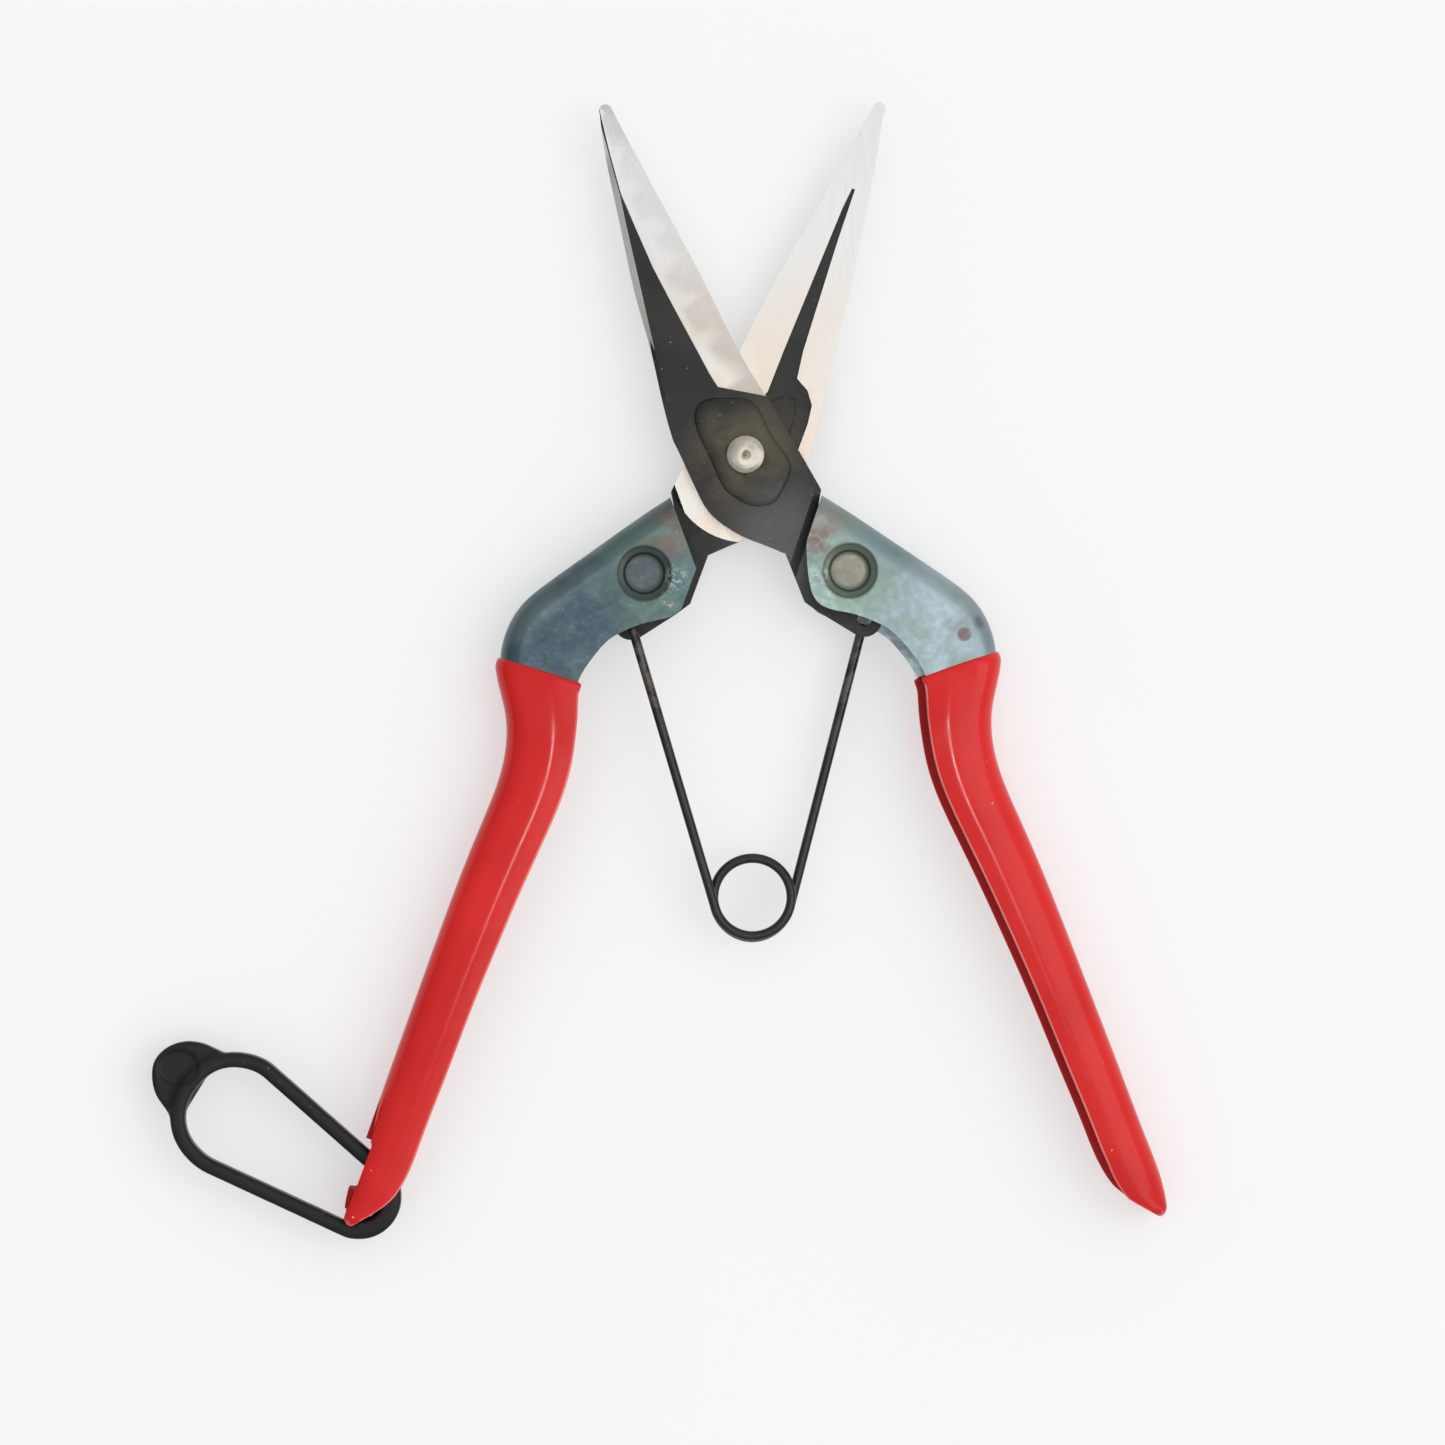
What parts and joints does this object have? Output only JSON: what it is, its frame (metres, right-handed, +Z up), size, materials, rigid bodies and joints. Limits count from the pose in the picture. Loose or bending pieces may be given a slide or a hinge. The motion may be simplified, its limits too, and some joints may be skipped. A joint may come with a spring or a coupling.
{
  "type": "pruning shears",
  "caption": "Spring-opened garden snips with straight narrow blades, pressed steel channel handles, dipped vinyl grips and a rubber closing strap.",
  "frame": {"origin": "on the bench under the middle of the open tool, at the bottom centre of its box", "axes": "the tool lies flat and open; +Y from the handles towards the blade tips, +X towards the right handle, +Z up, along the pivot pin"},
  "size_m": [0.1622, 0.182, 0.0121],
  "materials": {
    "blade_steel": "black oxide with ground bright bevels and contact faces",
    "handle_steel": "heat-tinted blue-grey, satin",
    "grip_vinyl": "dipped soft vinyl, glossy",
    "pivot_steel": "turned, satin",
    "spring_wire": "oil-blackened spring wire",
    "strap_rubber": "matte moulded rubber"
  },
  "bodies": {
    "lower_half": {"lower_blade": "blade_steel", "left_handle": "handle_steel", "left_grip": "grip_vinyl", "pivot_pin": "pivot_steel", "pivot_washer": "pivot_steel", "pivot_nut": "pivot_steel"},
    "upper_half": {"upper_blade": "blade_steel", "right_handle": "handle_steel", "right_grip": "grip_vinyl"},
    "spring_left": {"spring_left_arm": "spring_wire"},
    "spring_right": {"spring_right_arm": "spring_wire"},
    "strap": {"strap": "strap_rubber"}
  },
  "joints": [
    {"name": "blade_pivot", "type": "hinge", "parent": "lower_half", "child": "upper_half", "pos_m": [0.01387, 0.03443, 0.00605], "axis": [0, 0, -1], "range_deg": [0, 41.85], "stiffness_Nm_per_rad": 0.9, "springref_deg": -20.05},
    {"name": "spring_seat", "type": "hinge", "parent": "lower_half", "child": "spring_left", "pos_m": [-0.00449, 0.00772, 0.00605], "axis": [0, 0, -1], "range_deg": [0, 34.2]},
    {"name": "spring_coil", "type": "hinge", "parent": "spring_left", "child": "spring_right", "pos_m": [0.01499, -0.03621, 0.00605], "axis": [0, 0, 1], "range_deg": [0, 27]},
    {"name": "strap_swing", "type": "hinge", "parent": "lower_half", "child": "strap", "pos_m": [-0.04782, -0.08427, 0.00605], "axis": [0, 0, 1], "range_deg": [0, 120]}
  ],
  "couplings": [
    {"joint": "spring_seat", "follows": "blade_pivot", "ratio": 0.80955},
    {"joint": "spring_coil", "follows": "blade_pivot", "ratio": 0.63693}
  ]
}
